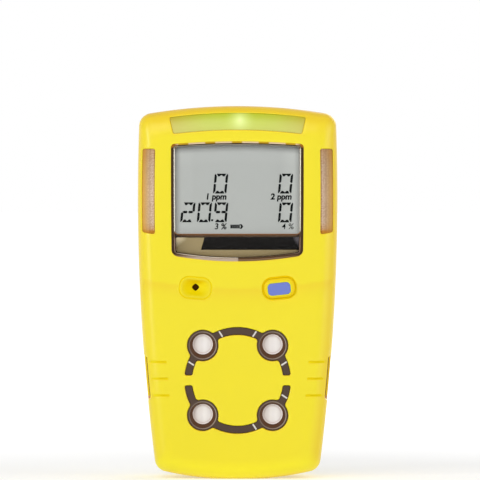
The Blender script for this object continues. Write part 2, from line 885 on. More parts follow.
GRAIN = grain_group()
BOW = bow_group()
ACROSS_PORT = port_group()


def placed(tree, group, place, **values):
    """Outputs of a node group placed in a material with its own values."""
    n = add(tree, "ShaderNodeGroup", node_tree=group)
    for socket, value in values.items():
        n.inputs[socket].default_value = value
    tree.links.new(place, n.inputs["Place"])
    return n.outputs


def bowed(tree, place, radius):
    """Height over a line bowed by a radius."""
    return placed(tree, BOW, place["Object"], Bow=0.5 / (radius * MM))["Height"]


def across_port(tree, place):
    """Place to the right of the middle of the nearest port."""
    return placed(tree, ACROSS_PORT, place["Object"], Middle=PORTS_R * math.sqrt(0.5) * MM)["Right"]


# Finishes

def finish(name, screen, rough=0.45, metal=0.0, tone=0.05, size=2600.0, bump=0.08,
           stretch=(1.0, 1.0, 1.0), coat=0.0, shine=0.5):
    """Material with grain: two tones of one colour, roughness that follows the tone, and a bump."""
    mat = bpy.data.materials.new(name)
    mat.use_nodes = True
    tree = mat.node_tree
    shader = tree.nodes["Principled BSDF"]
    place = add(tree, "ShaderNodeTexCoord", name="place")
    turn = add(tree, "ShaderNodeMapping", Scale=stretch)
    tree.links.new(place.outputs["Object"], turn.inputs["Vector"])
    grain = placed(tree, GRAIN, turn.outputs["Vector"], Size=size, Broad=BROAD)
    base = np.array(srgb(*screen)[:3])
    dark = tuple(base * (1 - tone)) + (1.0,)
    light = tuple(np.minimum(base * (1 + tone), 1.0)) + (1.0,)
    shade = mixed(tree, "MIX", grain["Tone"], dark, light)
    shade.node.name = "two tones"
    tree.links.new(shade, shader.inputs["Base Color"])
    gloss = add(tree, "ShaderNodeMapRange", To_Min=max(rough - ROUGH_PLAY, 0.02),
                To_Max=min(rough + ROUGH_PLAY, 1.0))
    tree.links.new(grain["Tone"], gloss.inputs["Value"])
    tree.links.new(gloss.outputs["Result"], shader.inputs["Roughness"])
    if bump:
        relief(tree, shader, grain["Height"], bump, GRAIN_DEEP)
    shader.inputs["Metallic"].default_value = metal
    shader.inputs["Coat Weight"].default_value = coat
    shader.inputs["Specular IOR Level"].default_value = shine
    return mat


def parts_of(mat):
    """A finish's tree, shader, two-tone colour and places."""
    nodes = mat.node_tree.nodes
    return mat.node_tree, nodes["Principled BSDF"], nodes["two tones"].outputs[2], nodes["place"].outputs


def across_share(tree):
    """The number that a piece keeps for each point."""
    return add(tree, "ShaderNodeAttribute", attribute_name="across").outputs["Fac"]


YELLOW = finish("case yellow", (246, 228, 28), rough=0.32, tone=0.02, size=2200, bump=0.1)
BUTTON_YELLOW = finish("button yellow", (250, 248, 246), rough=0.5, tone=0.03, bump=0.1, shine=0.15)
RECESS_GOLD = finish("recess gold", (250, 248, 246), rough=0.5, tone=0.03, shine=0.04)
PAD_BLUE = finish("pad blue", (110, 127, 207), rough=0.5, size=3200, bump=0.15)
BEZEL_BROWN = finish("bezel brown", (76, 62, 53), rough=0.42, tone=0.1, size=3000, bump=0.1, shine=0.28)
LIP_BROWN = finish("window lip brown", (236, 232, 228), rough=0.4, tone=0.06, size=900, bump=0.05,
                   shine=0.08)
BEAD_PALE = finish("pane edge pale", (250, 246, 238), rough=0.22, metal=0.5, size=700, bump=0.0)
MASK_BROWN = finish("display mask brown", (58, 44, 34), rough=0.4, tone=0.12, bump=0.05, shine=0.2)
LCD_GREY = finish("display grey", (148, 151, 148), rough=0.4, tone=0.015, size=2400, bump=0.02, shine=0.3)
INK = finish("display ink", (22, 24, 24), rough=0.6, bump=0.0, shine=0.05)
STRIPE_BLACK = finish("stripe black", (15, 12, 10), rough=0.3, tone=0.15, bump=0.03, shine=0.1)
PLATE_GOLD = finish("plate gold", (162, 144, 101), rough=0.38, metal=0.35, tone=0.1, size=1800,
                    stretch=(0.12, 1.0, 1.0), bump=0.05)
PANE = finish("window pane clear", (30, 33, 32), rough=0.07, bump=0.0)
FILTER_WHITE = finish("filter white", (252, 247, 244), rough=0.7, tone=0.03, bump=0.2)
MARK_GREY = finish("mark grey", (222, 217, 212), rough=0.35, tone=0.06, bump=0.05)
SEAM_BROWN = finish("latch seam brown", (132, 70, 30), rough=0.6, tone=0.1, bump=0.1, shine=0.1)
HEAD_ROSE = finish("latch head rose", (206, 160, 132), tone=0.06)
SIDE_LENS = finish("side lens frosted", (216, 190, 164), rough=0.36, tone=0.04, bump=0.0, shine=0.25)
TOP_LENS = finish("top lens lit", (200, 214, 80), rough=0.3, tone=0.03, bump=0.0)
STEEL = finish("clip steel", (172, 173, 175), rough=0.3, metal=1.0, tone=0.06, size=1500,
               stretch=(1.0, 1.0, 0.03), bump=0.12)
PIN_STEEL = finish("pin steel", (178, 180, 182), rough=0.24, metal=1.0, size=1800,
                   stretch=(0.05, 1.0, 1.0), bump=0.05)
SCREW_DARK = finish("screw dark steel", (70, 70, 72), rough=0.35, metal=1.0, tone=0.1)
LABEL_GREY = finish("label grey", (206, 206, 202), rough=0.55, tone=0.02, size=3000, bump=0.06)
BLACK_PLASTIC = finish("black plastic", (32, 32, 33), tone=0.12, bump=0.1)
MEMBRANE_BROWN = finish("membrane brown", (70, 42, 6), rough=0.9, tone=0.3, bump=0.1, shine=0.0)
CONTACT_GOLD = finish("contact gold", (212, 170, 92), rough=0.22, metal=1.0, tone=0.06, bump=0.04)
IR_RED = finish("infrared window", (44, 12, 14), rough=0.12, tone=0.1, bump=0.0, coat=0.3)
BOARD_GREEN = finish("board green", (36, 96, 62), rough=0.4, tone=0.14, size=700, bump=0.06)
CHIP_BLACK = finish("chip black", (38, 38, 40), rough=0.5, tone=0.1, bump=0.1)
SEAL_GREY = finish("seal grey", (78, 78, 78), rough=0.75, tone=0.1, size=1800, bump=0.25)
IVORY = finish("ivory plastic", (228, 222, 204), tone=0.04)
LIGHT_WHITE = finish("light guide white", (236, 238, 236), rough=0.35, tone=0.02, bump=0.03)
SENSOR_GREY = finish("sensor grey", (176, 186, 198))
CELL_BLUE = finish("battery blue", (70, 110, 160), rough=0.35, size=500, bump=0.06)
LEAD_RED = finish("lead red", (166, 38, 34), rough=0.4, tone=0.06, bump=0.06)
WEIGHT_GREY = finish("weight grey", (128, 128, 126), rough=0.4, metal=1.0, tone=0.08, bump=0.12)


def skin_finish():
    """Yellow skin: more orange where it turns away from the face, up or to the right, paler where
    it turns down, gold under its lowest edge and in its recesses."""
    tree, shader, tint, place = parts_of(YELLOW)
    x, y, z = split(tree, place["Normal"])
    turned = calc(tree, "MULTIPLY", calc(tree, "SUBTRACT", 1.0, calc(tree, "ABSOLUTE", y)), 0.6)
    turned = calc(tree, "MULTIPLY", turned, span(tree, z, -0.7, 0.0))
    turned = calc(tree, "MAXIMUM", turned, calc(tree, "MULTIPLY", z, 0.85))
    turned = calc(tree, "MINIMUM", turned, 1.0)
    right = calc(tree, "MULTIPLY", span(tree, x, 0.2, 0.7), 0.2)
    for share, tone in ((turned, srgb(255, 204, 14)), (span(tree, z, 0.0, -0.4), srgb(253, 239, 30)),
                        (span(tree, z, -0.8, -0.97), srgb(255, 226, 8)), (right, srgb(255, 190, 0)),
                        (across_share(tree), srgb(236, 182, 6))):
        tint = mixed(tree, "MIX", share, tint, tone)
    tree.links.new(tint, shader.inputs["Base Color"])


def recess_finish():
    """Recesses of the face: its yellow at their edges, gold inside, deeper where they face down and
    yellow where they look to the left, and dark brown in the hole."""
    tree, shader, grain, place = parts_of(RECESS_GOLD)
    x, _, z = split(tree, place["Normal"])
    share = across_share(tree)
    gold = tones(tree, span(tree, z, -0.6, 0.6), (0.0, 248, 215, 0), (0.5, 247, 222, 6), (1.0, 244, 221, 0))
    gold = mixed(tree, "MIX", span(tree, x, -0.15, -0.55), gold, srgb(252, 238, 40))
    tint = mixed(tree, "MIX", span(tree, share, 0.0, 0.7), srgb(248, 229, 52), gold)
    tint = mixed(tree, "MIX", span(tree, share, 0.85, 0.95), tint, srgb(16, 4, 1))
    tree.links.new(mixed(tree, "MULTIPLY", 1.0, tint, grain), shader.inputs["Base Color"])


def button_finish():
    """Button: gold low on its side, yellow on its shoulder, a bright line round the pad."""
    tree, shader, grain, _ = parts_of(BUTTON_YELLOW)
    tint = tones(tree, across_share(tree), (0.0, 255, 214, 0), (0.25, 252, 216, 8), (0.6, 250, 224, 30),
                 (0.8, 250, 228, 30), (0.9, 255, 252, 54), (1.0, 255, 252, 54))
    tree.links.new(mixed(tree, "MULTIPLY", 1.0, tint, grain), shader.inputs["Base Color"])


def side_lens_finish():
    """Frosted side lens: amber at its outer edge, pinkish white inside, dimmer above and amber at
    its lower end, with rows of fine dots."""
    tree, shader, _, place = parts_of(SIDE_LENS)
    x, _, z = split(tree, place["Object"])
    off = calc(tree, "POWER", calc(tree, "SUBTRACT", z, SIDE_Z * MM), 2.0)
    bow = calc(tree, "MULTIPLY", off, 0.5 / (SIDE_R * MM))
    inner = CASE_W / 2 - SIDE_LENS_IN - SIDE_LENS_W
    out = calc(tree, "ADD", calc(tree, "ABSOLUTE", x), bow)
    share = span_mm(tree, out, inner, inner + SIDE_LENS_W)
    tint = tones(tree, share, (0.0, 206, 174, 144), (0.14, 234, 210, 186), (0.4, 218, 190, 158),
                 (0.62, 216, 178, 120), (0.86, 226, 174, 88), (1.0, 220, 162, 68))
    up = span_mm(tree, z, SIDE_LENS_Z, SIDE_LENS_Z + SIDE_LENS_H)
    fade = tones(tree, up, (0.0, 255, 255, 255), (0.3, 252, 252, 252), (0.5, 255, 255, 255),
                 (0.8, 240, 238, 234), (0.97, 232, 218, 196), (1.0, 226, 206, 176))
    tint = mixed(tree, "MULTIPLY", 1.0, tint, fade)
    tint = mixed(tree, "MULTIPLY", span_mm(tree, x, -1.0, 1.0), tint, srgb(240, 238, 236))
    end = greys(tree, up, (0.0, 1.0), (0.035, 1.0), (0.06, 0.4), (0.14, 0.0), (1.0, 0.0))
    tint = mixed(tree, "MIX", end, tint, srgb(200, 138, 34))
    dots = add(tree, "ShaderNodeTexVoronoi", Scale=DOT_SCALE, Randomness=0.4)
    tree.links.new(place["Object"], dots.inputs["Vector"])
    speck = span(tree, dots.outputs["Distance"], 0.25, 0.6)
    inside_more = calc(tree, "MULTIPLY", calc(tree, "SUBTRACT", 1.1, share), 0.85)
    tint = mixed(tree, "MULTIPLY", calc(tree, "MULTIPLY", speck, inside_more), tint, srgb(204, 178, 160))
    tree.links.new(tint, shader.inputs["Base Color"])
    relief(tree, shader, dots.outputs["Distance"], 0.25, DOT_DEEP)


def top_lens_finish():
    """Lit top lens: green in the middle and nearly white at its hot spot, olive at its ends and
    along its upper edge."""
    tree, shader, _, place = parts_of(TOP_LENS)
    x, _, _ = split(tree, place["Object"])
    high = bowed(tree, place, TOP_R)
    away = calc(tree, "ABSOLUTE", calc(tree, "SUBTRACT", x, SPOT_X * MM))
    along = span_mm(tree, away, 0.0, TOP_LENS_W / 2)
    body = tones(tree, along, (0.0, 204, 223, 62), (0.12, 199, 218, 30), (0.5, 199, 212, 38),
                 (0.8, 202, 200, 46), (1.0, 202, 188, 36))
    up = span_mm(tree, high, CASE_H - TOP_LENS_IN - TOP_LENS_H, CASE_H - TOP_LENS_IN)
    low = calc(tree, "MULTIPLY", calc(tree, "SUBTRACT", 1.0, up), 0.5)
    body = mixed(tree, "MIX", low, body, srgb(216, 216, 138))
    edge = calc(tree, "MULTIPLY", calc(tree, "POWER", up, 3.0), 0.35)
    body = mixed(tree, "MULTIPLY", edge, body, srgb(222, 206, 120))
    tree.links.new(body, shader.inputs["Base Color"])
    rise = calc(tree, "SUBTRACT", high, (CASE_H - TOP_LENS_IN - SPOT_DOWN) * MM)
    near = calc(tree, "SUBTRACT", 1.0, span_mm(tree, distance(tree, away, rise), 0.0, SPOT_R))
    spot = calc(tree, "POWER", near, 2.2)
    tree.links.new(mixed(tree, "MIX", spot, grey(0.0), srgb(224, 236, 206)), shader.inputs["Emission Color"])
    shader.inputs["Emission Strength"].default_value = SPOT_LIGHT


def filter_finish():
    """White filter disc: faint upright bands, pink at its rim from its neighbours, dimmer on its
    left."""
    tree, shader, tint, place = parts_of(FILTER_WHITE)
    wave = add(tree, "ShaderNodeTexWave", Scale=FILTER_BANDS, Distortion=1.5)
    tree.links.new(place["Object"], wave.inputs["Vector"])
    band = calc(tree, "MULTIPLY", wave.outputs["Fac"], 0.12)
    tint = mixed(tree, "MULTIPLY", band, tint, srgb(206, 196, 196))
    ring = tones(tree, across_share(tree), (0.0, 255, 255, 255), (0.6, 250, 249, 248),
                 (0.74, 230, 220, 217), (0.79, 255, 255, 255), (0.86, 255, 253, 250),
                 (0.89, 206, 174, 154), (1.0, 160, 120, 100))
    tint = mixed(tree, "MULTIPLY", 1.0, tint, ring)
    left = span_mm(tree, across_port(tree, place), 0.3, -FILTER_R)
    tint = mixed(tree, "MULTIPLY", left, tint, srgb(218, 211, 207))
    tree.links.new(tint, shader.inputs["Base Color"])


def bezel_finish():
    """Bezel: dull brown on the flat, a paler line round each mouth, palest on its right, warm dark
    brown in the cones."""
    tree, shader, shade, place = parts_of(BEZEL_BROWN)
    share = across_share(tree)
    right = span_mm(tree, across_port(tree, place), -MOUTH_R, MOUTH_R)
    sides = [tones(tree, share, (0.0, 80, 46, 14), (0.12, 64, 38, 18), (0.3, 80, 63, 52), (0.42, *line),
                   (0.5, 78, 54, 36), (0.62, 92, 58, 30), (0.9, 88, 52, 26), (1.0, 140, 92, 54))
             for line in ((128, 110, 97), (176, 162, 148))]
    tone = mixed(tree, "MIX", right, *sides)
    grain = mixed(tree, "ADD", 0.9, shade, srgb(236, 232, 230))
    tree.links.new(mixed(tree, "MULTIPLY", 0.6, tone, grain), shader.inputs["Base Color"])


def pane_finish():
    """Clear pane: nearly nothing seen straight on, a sheen where it turns away."""
    tree, shader, _, _ = parts_of(PANE)
    turned = add(tree, "ShaderNodeLayerWeight", Blend=0.4)
    veil = calc(tree, "MULTIPLY_ADD", calc(tree, "POWER", turned.outputs["Facing"], 2.5), 0.5, 0.03)
    tree.links.new(veil, shader.inputs["Alpha"])


def lip_finish():
    """Window lip: dark brown sides, a gold line with four pale lengths along the top, and a lower
    run that is pale to the left of the middle and brown to the right."""
    tree, shader, grain, place = parts_of(LIP_BROWN)
    x, _, z = split(tree, place["Object"])
    share = across_share(tree)
    dark = tones(tree, share, (0.0, 84, 56, 26), (0.3, 66, 46, 28), (0.6, 64, 48, 32), (0.85, 92, 72, 50),
                 (1.0, 112, 90, 62))
    pale = tones(tree, share, (0.0, 196, 160, 112), (0.15, 204, 184, 166), (0.4, 202, 182, 166),
                 (0.5, 172, 152, 138), (0.62, 206, 188, 172), (1.0, 208, 190, 168))
    brown = tones(tree, share, (0.0, 136, 96, 34), (0.3, 132, 106, 84), (0.55, 144, 116, 90),
                  (0.8, 126, 96, 62), (1.0, 112, 80, 46))
    gold = tones(tree, share, (0.0, 216, 174, 36), (0.35, 206, 162, 34), (0.6, 192, 152, 44),
                 (0.72, 56, 32, 8), (1.0, 38, 20, 4))
    glint = tones(tree, share, (0.0, 226, 190, 96), (0.3, 236, 210, 164), (0.62, 238, 216, 186),
                  (0.74, 60, 40, 16), (1.0, 40, 24, 6))
    along = calc(tree, "PINGPONG", calc(tree, "SUBTRACT", x, GLINT_AT * MM), GLINT_PITCH / 2 * MM)
    lit = span_mm(tree, along, GLINT_L / 2 + 0.2, GLINT_L / 2 - 0.2)
    gold = mixed(tree, "MIX", lit, gold, glint)
    end = span_mm(tree, calc(tree, "ABSOLUTE", x), WIN_W / 2 - 2.2, WIN_W / 2 - 0.9)
    gold = mixed(tree, "MIX", end, gold, srgb(170, 112, 32))
    pale = mixed(tree, "MULTIPLY", span_mm(tree, x, -12.0, -18.0), pale, srgb(216, 196, 176))
    lower = mixed(tree, "MIX", span_mm(tree, x, *LOW_RUN_TURN), pale, brown)
    low = span_mm(tree, z, WIN_LOW + 2.2, WIN_LOW + 1.1)
    high = span_mm(tree, bowed(tree, place, WIN_HIGH_R), WIN_HIGH - 1.2, WIN_HIGH - 0.85)
    tint = mixed(tree, "MIX", high, mixed(tree, "MIX", low, dark, lower), gold)
    tree.links.new(mixed(tree, "MULTIPLY", 0.2, tint, grain), shader.inputs["Base Color"])


def bead_finish():
    """Edge of the pane: pale beside the display, grey along the top, brown beside the plate, and
    below as the lip is there."""
    tree, shader, grain, place = parts_of(BEAD_PALE)
    x, _, z = split(tree, place["Object"])
    up = span_mm(tree, z, WIN_LOW, VIEW_LOW)
    lower = mixed(tree, "MIX", span_mm(tree, x, *LOW_RUN_TURN), srgb(212, 196, 176), srgb(96, 68, 42))
    beside = tones(tree, up, (0.0, 140, 112, 94), (0.85, 140, 112, 94), (0.9, 84, 60, 36), (1.0, 90, 62, 34))
    low = span_mm(tree, z, WIN_LOW + 2.6, WIN_LOW + 1.9)
    pale = span_mm(tree, z, VIEW_LOW + 0.5, VIEW_LOW + 1.1)
    tint = mixed(tree, "MIX", pale, mixed(tree, "MIX", low, beside, lower), srgb(226, 220, 204))
    high = span_mm(tree, bowed(tree, place, WIN_HIGH_R), WIN_HIGH - 1.7, WIN_HIGH - 1.2)
    tint = mixed(tree, "MIX", high, tint, srgb(140, 135, 118))
    tree.links.new(mixed(tree, "MULTIPLY", 0.3, tint, grain), shader.inputs["Base Color"])


def display_finish():
    """Display glass: lit from behind, strongest a little way in from its edges, and dim under the
    lip, more so along the top."""
    tree, shader, _, place = parts_of(LCD_GREY)
    x, _, z = split(tree, place["Object"])
    side = calc(tree, "SUBTRACT", VIEW_HALF * MM, calc(tree, "ABSOLUTE", x))
    top = calc(tree, "SUBTRACT", (WIN_HIGH - LIP_IN - BEAD_W) * MM, bowed(tree, place, WIN_HIGH_R))
    low = calc(tree, "SUBTRACT", z, VIEW_LOW * MM)
    light = srgb(130, 132, 129)
    for away, stops in (
            (side, ((0.0, 0.3), (0.05, 0.42), (0.15, 0.7), (0.3, 1.0), (0.5, 0.92), (1.0, LIT))),
            (top, ((0.0, 0.12), (0.07, 0.28), (0.17, 0.56), (0.36, 0.92), (0.55, 0.85), (1.0, LIT))),
            (low, ((0.0, 0.55), (0.1, 0.64), (0.3, 0.72), (0.5, LIT), (1.0, LIT)))):
        share = greys(tree, span_mm(tree, away, 0.0, LIT_REACH), *stops)
        light = mixed(tree, "MULTIPLY", 1.0, light, share)
    tree.links.new(light, shader.inputs["Emission Color"])
    shader.inputs["Emission Strength"].default_value = 1 / LIT ** 3


def label_finish():
    """Blank label: a thin darker line set in from its edge, with square corners."""
    tree, shader, grain, place = parts_of(LABEL_GREY)
    x, _, z = split(tree, place["Object"])
    z = calc(tree, "SUBTRACT", z, LABEL_MID * MM)
    far = [calc(tree, "SUBTRACT", calc(tree, "ABSOLUTE", v), (size / 2 - LABEL_LINE_IN) * MM)
           for v, size in ((x, LABEL_W), (z, LABEL_H))]
    off = calc(tree, "ABSOLUTE", calc(tree, "MAXIMUM", *far))
    line = calc(tree, "LESS_THAN", off, LABEL_LINE_HALF * MM)
    tree.links.new(mixed(tree, "MIX", line, grain, srgb(96, 96, 94)), shader.inputs["Base Color"])


def plate_finish():
    """Plate: brighter at its upper left corner; the stripe on it paler at its upper right corner."""
    for mat, near, far, glint in ((PLATE_GOLD, -18.4, -15.2, srgb(246, 230, 190)),
                                  (STRIPE_BLACK, 18.4, 16.6, srgb(132, 126, 132))):
        tree, shader, grain, place = parts_of(mat)
        x, _, z = split(tree, place["Object"])
        end = calc(tree, "SUBTRACT", span_mm(tree, x, far, near),
                   span_mm(tree, z, VIEW_LOW - 1.8, VIEW_LOW - 4.2))
        tint = mixed(tree, "MIX", calc(tree, "MAXIMUM", end, 0.0), grain, glint)
        tree.links.new(tint, shader.inputs["Base Color"])


def mask_finish():
    """Mask and plate seat: brown, with an orange-brown line along the upper edge of the bar."""
    tree, shader, grain, place = parts_of(MASK_BROWN)
    x, _, z = split(tree, place["Object"])
    up = span_mm(tree, z, VIEW_LOW - BAR_H - 0.4, VIEW_LOW)
    tint = tones(tree, up, (0.0, 50, 38, 28), (0.3, 66, 48, 32), (0.45, 92, 70, 48), (0.66, 100, 72, 46),
                 (0.86, 104, 58, 18), (1.0, 196, 132, 70))
    above = span_mm(tree, z, VIEW_LOW + 0.02, VIEW_LOW + 0.7)
    tint = mixed(tree, "MIX", above, tint, grain)
    corner = span_mm(tree, calc(tree, "ABSOLUTE", x), VIEW_HALF - 1.3, VIEW_HALF - 0.5)
    line = tones(tree, across_share(tree), (0.0, 58, 44, 34), (0.4, 106, 58, 14), (0.75, 190, 148, 108),
                 (1.0, 190, 148, 108))
    tree.links.new(mixed(tree, "MIX", corner, tint, line), shader.inputs["Base Color"])


for dress in (skin_finish, recess_finish, button_finish, side_lens_finish, top_lens_finish, filter_finish,
              bezel_finish, pane_finish, lip_finish, bead_finish, display_finish, label_finish,
              plate_finish, mask_finish):
    dress()


# Shells

# Meeting edge of the two shells, from inside: drawn in from the outline, and off the parting line
SEAM_EDGE = ((1.9, 0.05), (0.3, 0.05), (0.06, 0.12))
# Rows of the front's side below its rounded edge
SIDE_DEPTHS = (8.0, 10.5, LATCH_D - 0.02, LATCH_D + 0.02, PART_D - 0.3)
# Troughs of the front: growth of the outline, depth, and share of gold
BUTTON_WELL = ((WELL_W + 0.04, 1.2, 0.7), (WELL_W + 0.04, 0.08, 0.5), (WELL_W - 0.08, 0.15, 0.7),
               (0.32, 0.2, 0.7), (0.22, 0.23, 0.7), (0.06, 0.23, 0.7), (0.06, 1.2, 0.7))
PORT_GROOVE = ((0.02, 1.2, 0.0), (0.02, 0.08, 0.3), (-0.1, 0.17, 0.6), (-0.2, 0.22, 0.7),
               (-0.3, 0.21, 0.6), (-0.42, 0.13, 0.3), (-0.54, 0.04, 0.05), (-0.66, 0.01, 0.0),
               (-0.84, 0.01, 0.0), (FUNNEL_G, FUNNEL_TOP, 0.15))
GRIP_GROOVE = ((0.02, 0.7, 0.0), (0.02, 0.05, 0.1), (-0.1, 0.11, 0.4), (-0.22, 0.15, 0.6),
               (-0.36, 0.16, 0.65))
# Wells of the back: radius or growth of the outline, and depth from the back's face
SCREW_WELL = ((SCREW_HOLE_R + 0.3, 0.0), (SCREW_HOLE_R + 0.09, -0.09), (SCREW_HOLE_R, -0.3),
              (SCREW_HOLE_R, HEAD_D - CASE_D), (SCREW_R, HEAD_D - CASE_D))
SEAT_EDGE = ((0.2, 0.0), (0.06, -0.06), (0.0, -0.2))
SCREW_POINTS = 32
LATCH_POINTS = 24
# Seats in the back: middle, width, height, corner, depth, and whether they have a floor
SEATS = ((0, LABEL_MID, LABEL_W, LABEL_H, 1.5, 0.4, True),
         (0, CHARGE_Z, CHARGE_W, CHARGE_H, 0.4, 1.6, False),
         (IR_X, CHARGE_Z, IR_W, CHARGE_H, 0.4, 1.6, False))
# Head at the end of a latch seam: radius, and depth from the pocket's floor
LATCH_HEAD = ((0.4, 0.0), (0.4, -0.3), (0.33, -0.42), (0.15, -0.48))


def latch_step(z):
    """Depth of the latch pocket at a height: full between its ends, with soft ends."""
    t = np.clip((LATCH_H / 2 + LATCH_OVER - np.abs(z - LATCH_Z)) / LATCH_SOFT, 0, 1)
    return LATCH_IN * t * t * (3 - 2 * t)


def drawn_in(loop, depth):
    """A row of the case's side at a depth, drawn in at the latch pockets in front of their floor."""
    far = np.abs(loop[:, 0])
    pocket = latch_step(loop[:, 1]) * (far > SIDE_FROM) * (depth < LATCH_D)
    limit = half_w(loop[:, 1]) - pocket
    x = np.sign(loop[:, 0]) * np.where(pocket > 1e-4, np.minimum(far, limit), far)
    return lay(np.stack([x, loop[:, 1]], axis=-1), depth)


def front_openings():
    """Openings of the front: outline, round of its edge, and depth of its wall, which is taken from
    the face there where the last entry says so."""
    found = [(window_loop, 0.3, 2.2, False), (top_lens_loop, 0.3, 1.5, True),
             (lambda g: side_lens_loop(g, 1), 0.3, 1.5, True),
             (lambda g: side_lens_loop(g, -1), 0.3, 1.5, True),
             (lambda g: button_loop(WELL_W + 0.02 + g), 0.12, 1.2, False),
             (port_loop, 0.12, 1.2, False),
             (lambda g: bezel_loop(0.05 + g, 1), 0.4, 1.4, False),
             (lambda g: bezel_loop(0.05 + g, -1), 0.4, 1.4, False)]
    for side, z0 in GROOVES:
        found.append((lambda g, side=side, z0=z0: groove_loop(g, side, z0), 0.08, 0.7, True))
    return found


def front_shell():
    """Front shell: the face as a sheet between its openings, a rim for each opening, and the
    rounded edge and side wall carried round the outline to the parting line."""
    first = 1.0 / EDGE_SIDE
    outer = front_loop(first)
    parts = []
    holes = []
    gold = []
    for loop, r, down, under in front_openings():
        rows = rim(loop, r, down, under)
        holes.append(loop(r))
        parts.append(carry(rows))
        gold.append(RIM_GOLD * np.minimum(np.arange(len(rows)) / RIM_STEPS, 1) ** 2)
    xz, tris = sheet_between(outer, holes, FACE_STEP)
    parts.append((on_face(xz, 0.0), [tris]))
    t = np.maximum(fold_line(xz[:, 0]) + FOLD_GOLD_UP - xz[:, 1], 0) / FOLD_GOLD_REACH
    gold.append(FOLD_GOLD * t * np.exp(1 - t))
    last = LATCH_IN / EDGE_SIDE
    skirt = []
    for k in np.concatenate([np.linspace(first, last, 3), last * np.linspace(0.94, 0, 12) ** 1.6]):
        skirt.append(drawn_in(front_loop(k), EDGE_D * (1 - math.sqrt(1 - (1 - k) ** 2))))
    skirt[0] = on_face(outer, 0.0)
    edge = front_loop(0.0)
    skirt += [drawn_in(edge, d) for d in SIDE_DEPTHS]
    skirt += [lay(even_loop(g), PART_D - d) for g, d in SEAM_EDGE[::-1]]
    parts.append(carry(skirt))
    ledge = np.zeros((len(skirt), len(edge)))
    in_pocket = latch_step(edge[:, 1]) > 0.3
    ends = (-SIDE_FROM - 1, -SIDE_FROM, SIDE_FROM, SIDE_FROM + 1)
    ledge[-6:-4] = in_pocket * np.interp(edge[:, 0], ends, (0.15, 0, 0, 0.4))
    gold.append(ledge.ravel())
    make_piece("front_skin", parts, YELLOW, nodes=("front_shell",), wall=FRONT_WALL, across=gold)


def front_recesses():
    """Well round the button: a shallow trough closed behind. Buzzer port: a shallow groove inside
    its outline, straight lines from its lip to a rounded diamond, and the wall of the hole. Grip
    grooves: shallow troughs under the face."""
    well = carry(rows_of(button_loop, BUTTON_WELL), closed=True)
    make_piece("button_well", [well], RECESS_GOLD, across=[shares_of(BUTTON_WELL)])
    rows = rows_of(port_loop, PORT_GROOVE)
    gold = shares_of(PORT_GROOVE)
    lip = port_loop(FUNNEL_G)
    at = np.array(PORT_AT) + [0, HOLE_UP]
    hole = diamond_like(lip, at, HOLE_R + HOLE_EDGE)
    for t in np.linspace(0, 1, 9)[1:]:
        rows.append(lay(lip * (1 - t) + hole * t, FUNNEL_TOP + FUNNEL_D * t ** 0.9))
        gold.append(min(0.25 + 1.2 * t, 0.75))
    for d in HOLE_WALL:
        rows.append(lay(diamond_like(lip, at, HOLE_R), d))
        gold.append(1.0)
    make_piece("buzzer_funnel", [carry(rows, closed=True)], RECESS_GOLD, across=[gold])
    parts = []
    for side, z0 in GROOVES:
        parts += closed_form(rows_of(lambda g: groove_loop(g, side, z0), GRIP_GROOVE, 0.0, on_face))
    gold = shares_of(GRIP_GROOVE)
    make_piece("grip_grooves", parts, RECESS_GOLD, across=[gold, gold[0], gold[-1]] * len(GROOVES))


def rear_shell():
    """Rear shell: side wall and rounded rear edge carried round the outline, and the back as a
    sheet between the screw wells, the label's seat and the two sockets."""
    rows = rows_of(even_loop, SEAM_EDGE + ((0.0, 0.3), (0.0, 4.5)), PART_D)
    for a in np.linspace(math.pi / 2, 0, REAR_STEPS):
        rows.append(lay(even_loop(REAR_EDGE * (1 - math.sin(a))), CASE_D - REAR_EDGE * (1 - math.cos(a))))
    parts = [carry(rows)]
    holes = []
    for z in SCREW_Z:
        for side in (-1, 1):
            at = np.array([side * (half_w(z) - SCREW_IN), z])
            well = rows_of(circles_about(at, SCREW_POINTS), SCREW_WELL, CASE_D)
            holes.append(well[0][:, ::2])
            parts.append(carry(well))
    for x, z, w, h, r, down, floored in SEATS:
        counts = (max(4, int(w)), max(4, int(h)))
        well = rows_of(lambda g: round_loop(w + 2 * g, h + 2 * g, r + g, *counts) + [x, z],
                       SEAT_EDGE + ((0.0, -down),), CASE_D)
        holes.append(well[0][:, ::2])
        parts.append(carry(well))
        if floored:
            parts.append(cap(well[-1]))
    xz, tris = sheet_between(even_loop(REAR_EDGE), holes, BACK_STEP)
    parts.append((lay(xz, CASE_D), [tris]))
    make_piece("rear_skin", parts, YELLOW, nodes=("rear_shell",), wall=REAR_WALL)


def plates(name, outlines, depth, thick, material):
    """Flat plates from outlines, each carried from its back to its front."""
    parts = []
    for line in outlines:
        parts += closed_form([lay(line, depth), lay(line, depth - thick)])
    make_piece(name, parts, material)


def latch_seams():
    """Dark seams in the latch pockets: strips that follow the pocket's wall, thin at both ends, and
    a small round head at each lower end."""
    low = LATCH_Z - LATCH_H / 2
    z = np.linspace(low, low + LATCH_H, SEAM_POINTS) + SEAM_UP
    inner = half_w(z) - latch_step(z) + 0.02
    width = SEAM_W * np.minimum(1, (LATCH_H / 2 + 2 * SEAM_UP - np.abs(z - LATCH_Z)) / SEAM_SOFT)
    lines = []
    heads = []
    for side in (-1, 1):
        lines.append(np.concatenate([np.stack([side * inner, z], axis=-1),
                                     np.stack([side * (inner + width), z], axis=-1)[::-1]]))
        at = np.array([side * (half_w(low + HEAD_UP) - HEAD_IN), low + HEAD_UP])
        heads += closed_form(rows_of(circles_about(at, LATCH_POINTS), LATCH_HEAD, LATCH_D))
    plates("latch_seams", lines, LATCH_D + 0.05, 0.3, SEAM_BROWN)
    make_piece("latch_heads", heads, HEAD_ROSE)


front_shell()
front_recesses()
rear_shell()
latch_seams()


